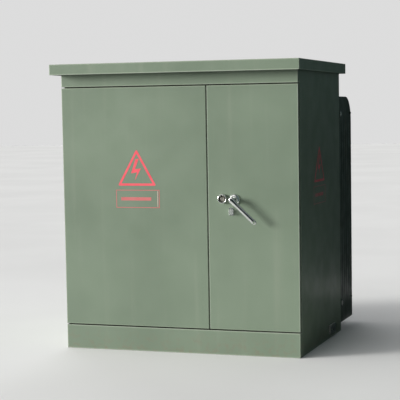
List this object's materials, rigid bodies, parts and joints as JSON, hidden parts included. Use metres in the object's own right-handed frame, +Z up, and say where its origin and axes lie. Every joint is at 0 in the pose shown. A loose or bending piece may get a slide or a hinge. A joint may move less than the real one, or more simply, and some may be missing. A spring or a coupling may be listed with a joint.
{
  "type": "pad-mounted transformer",
  "caption": "Green steel cabinet with an overhanging roof, a wide and a narrow hinged door with a swinging lock handle, oil tank, terminals and rear radiators.",
  "frame": {"origin": "on the ground under the middle of the whole object's box", "axes": "+X to the right as the doors are faced, +Y from the doors to the radiators, +Z up"},
  "size_m": [1.35, 1.28, 1.5],
  "materials": {
    "cabinet_green": "semi-gloss polyester powder coat",
    "tank_green": "semi-gloss enamel",
    "zinc_steel": "zinc plated",
    "bright_steel": "satin stainless",
    "brass": "machined",
    "tinned_copper": "tin plated",
    "coil_paper": "aluminium conductor wrapped in oiled paper",
    "core_steel": "laminated electrical steel",
    "epoxy": "moulded epoxy",
    "black_rubber": "cork-rubber sheet",
    "gauge_white": "white dial in a steel case",
    "pointer_red": "red enamel",
    "warning_yellow": "yellow moulded plastic"
  },
  "bodies": {
    "root": {"barrier": "zinc_steel", "bayonet_housing_1": "epoxy", "bayonet_housing_2": "epoxy", "bayonet_housing_3": "epoxy", "core": "core_steel", "drain_valve": "brass", "fill_plug": "brass", "front_sill": "cabinet_green", "ground_pad": "zinc_steel", "header": "cabinet_green", "hv_bushing_1": "epoxy", "hv_bushing_2": "epoxy", "hv_bushing_3": "epoxy", "left_hinge_lower": "zinc_steel", "left_hinge_upper": "zinc_steel", "level_gauge": "gauge_white", "lv_bushing_1": "epoxy", "lv_bushing_2": "epoxy", "lv_bushing_3": "epoxy", "lv_bushing_4": "epoxy", "nameplate": "bright_steel", "neutral_strap": "tinned_copper", "radiator_left": "tank_green", "radiator_right": "tank_green", "relief_valve": "brass", "right_hinge_lower": "zinc_steel", "right_hinge_upper": "zinc_steel", "roof": "cabinet_green", "side_panel_left": "cabinet_green", "side_panel_right": "cabinet_green", "tank": "tank_green", "tank_cover": "tank_green", "tank_gasket": "black_rubber", "thermometer": "gauge_white", "winding_left": "coil_paper", "winding_middle": "coil_paper", "winding_right": "coil_paper"},
    "left_door": {"left_door": "cabinet_green"},
    "right_door": {"right_door": "cabinet_green", "handle_boss": "bright_steel", "rod_guide_upper": "zinc_steel", "rod_guide_lower": "zinc_steel", "bolt_cup": "bright_steel", "padlock_staple": "bright_steel"},
    "door_handle": {"door_handle": "bright_steel", "latch_cam": "zinc_steel"},
    "latch_rod_upper": {"latch_rod_upper": "zinc_steel"},
    "latch_rod_lower": {"latch_rod_lower": "zinc_steel"},
    "penta_bolt": {"penta_bolt": "brass"},
    "left_door_stay": {"left_door_stay": "zinc_steel"},
    "right_door_stay": {"right_door_stay": "zinc_steel"},
    "bayonet_fuse_1": {"bayonet_fuse_1": "warning_yellow"},
    "bayonet_fuse_2": {"bayonet_fuse_2": "warning_yellow"},
    "bayonet_fuse_3": {"bayonet_fuse_3": "warning_yellow"},
    "switch_handle": {"switch_handle": "warning_yellow"},
    "tap_changer_handle": {"tap_changer_handle": "warning_yellow"},
    "level_pointer": {"level_pointer": "pointer_red"},
    "thermometer_pointer": {"thermometer_pointer": "pointer_red"},
    "relief_ring": {"relief_ring": "bright_steel"},
    "drain_handle": {"drain_handle": "pointer_red"}
  },
  "joints": [
    {"name": "left_door_hinge", "type": "hinge", "parent": "root", "child": "left_door", "pos_m": [-0.635, -0.546, 0.75], "axis": [0, 0, -1], "range_deg": [0, 110]},
    {"name": "right_door_hinge", "type": "hinge", "parent": "root", "child": "right_door", "pos_m": [0.635, -0.546, 0.75], "axis": [0, 0, 1], "range_deg": [0, 110]},
    {"name": "handle_turn", "type": "hinge", "parent": "right_door", "child": "door_handle", "pos_m": [0.306, -0.56, 0.799], "axis": [0, 1, 0], "range_deg": [-43, 47]},
    {"name": "upper_rod_slide", "type": "slide", "parent": "right_door", "child": "latch_rod_upper", "axis": [0, 0, 1], "range_m": [-0.0205, 0.0235]},
    {"name": "lower_rod_slide", "type": "slide", "parent": "right_door", "child": "latch_rod_lower", "axis": [0, 0, 1], "range_m": [-0.0235, 0.0205]},
    {"name": "penta_bolt_turn", "type": "hinge", "parent": "right_door", "child": "penta_bolt", "pos_m": [0.245, -0.56, 0.803], "axis": [0, 1, 0], "continuous": true},
    {"name": "left_stay_swing", "type": "hinge", "parent": "left_door", "child": "left_door_stay", "pos_m": [-0.5, -0.546, 0.2], "axis": [0, 0, 1], "range_deg": [0, 80]},
    {"name": "right_stay_swing", "type": "hinge", "parent": "right_door", "child": "right_door_stay", "pos_m": [0.585, -0.546, 0.2], "axis": [0, 0, -1], "range_deg": [0, 80]},
    {"name": "fuse_1_pull", "type": "slide", "parent": "root", "child": "bayonet_fuse_1", "axis": [0, -1, 0], "range_m": [0, 0.25]},
    {"name": "fuse_2_pull", "type": "slide", "parent": "root", "child": "bayonet_fuse_2", "axis": [0, -1, 0], "range_m": [0, 0.25]},
    {"name": "fuse_3_pull", "type": "slide", "parent": "root", "child": "bayonet_fuse_3", "axis": [0, -1, 0], "range_m": [0, 0.25]},
    {"name": "switch_turn", "type": "hinge", "parent": "root", "child": "switch_handle", "pos_m": [-0.03, -0.135, 1.08], "axis": [0, -1, 0], "range_deg": [0, 90]},
    {"name": "tap_changer_turn", "type": "hinge", "parent": "root", "child": "tap_changer_handle", "pos_m": [0.09, -0.135, 1.08], "axis": [0, 1, 0], "range_deg": [-72, 72]},
    {"name": "level_needle", "type": "hinge", "parent": "root", "child": "level_pointer", "pos_m": [0.245, -0.1608, 1.22], "axis": [0, 1, 0], "range_deg": [-60, 60]},
    {"name": "thermometer_needle", "type": "hinge", "parent": "root", "child": "thermometer_pointer", "pos_m": [0.395, -0.1608, 1.22], "axis": [0, 1, 0], "range_deg": [-120, 120]},
    {"name": "relief_pull", "type": "slide", "parent": "root", "child": "relief_ring", "axis": [0, -1, 0], "range_m": [0, 0.01], "stiffness_N_per_m": 500, "springref_m": -0.01},
    {"name": "drain_valve_turn", "type": "hinge", "parent": "root", "child": "drain_handle", "pos_m": [0.235, -0.192, 0.1963], "axis": [0, 0, -1], "range_deg": [0, 90]}
  ],
  "couplings": [
    {"joint": "upper_rod_slide", "follows": "handle_turn", "m_per_rad": 0.02701},
    {"joint": "lower_rod_slide", "follows": "handle_turn", "m_per_rad": -0.02701}
  ]
}
